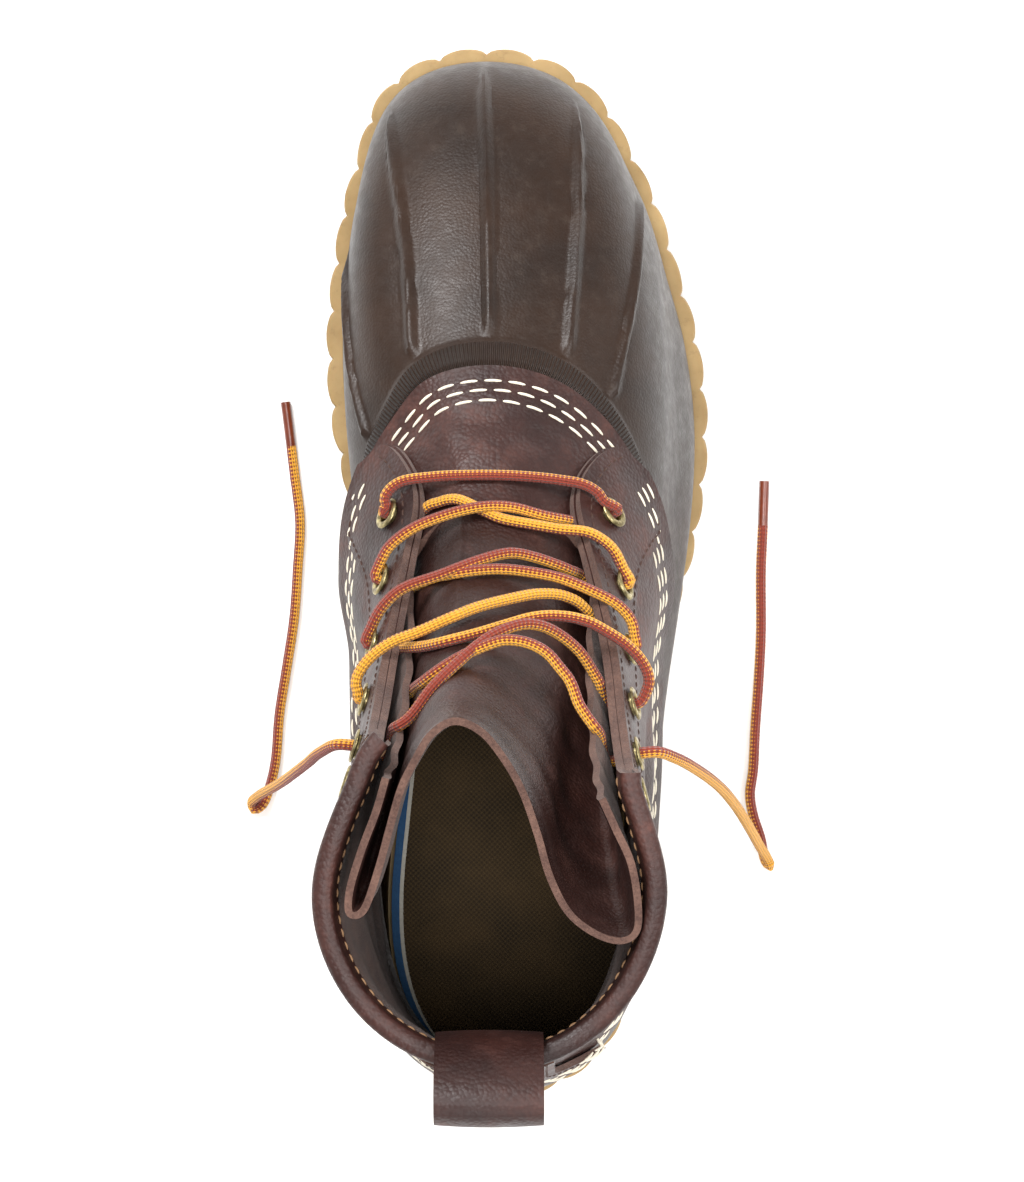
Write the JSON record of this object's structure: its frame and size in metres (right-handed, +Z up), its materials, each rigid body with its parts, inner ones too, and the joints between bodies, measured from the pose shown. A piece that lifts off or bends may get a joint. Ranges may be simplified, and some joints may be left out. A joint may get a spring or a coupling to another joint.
{
  "type": "rain boot",
  "caption": "Right-foot lace-up rain boot: moulded rubber bottom on a scalloped gum sole, leather shaft, bellows tongue, eyelets, untied laces and a pull loop.",
  "frame": {"origin": "on the floor, under the middle of the boot's bounding box, with the laces' free ends left out", "axes": "+Y to the toe, +X to the wearer's right, +Z up"},
  "size_m": [0.1524, 0.3022, 0.229],
  "materials": {
    "gum": "satin",
    "rubber": "satin",
    "leather": "satin",
    "brass": "antique",
    "lace": "braided",
    "canvas": "woven"
  },
  "bodies": {
    "root": {"outsole": "gum", "rubber_bottom": "rubber", "upper": "leather", "tongue": "leather", "insole": "canvas", "facing_medial": "leather", "facing_lateral": "leather", "collar_binding": "leather", "backstay": "leather", "pull_loop": "leather", "eyelet_medial_1": "brass", "eyelet_medial_2": "brass", "eyelet_medial_3": "brass", "eyelet_medial_4": "brass", "eyelet_medial_5": "brass", "eyelet_medial_6": "brass", "eyelet_lateral_1": "brass", "eyelet_lateral_2": "brass", "eyelet_lateral_3": "brass", "eyelet_lateral_4": "brass", "eyelet_lateral_5": "brass", "eyelet_lateral_6": "brass", "lace_crossing_1": "lace", "lace_crossing_2": "lace", "lace_crossing_3": "lace", "lace_crossing_4": "lace", "lace_bar": "lace", "lace_end_medial": "lace", "lace_end_lateral": "lace"}
  },
  "joints": []
}
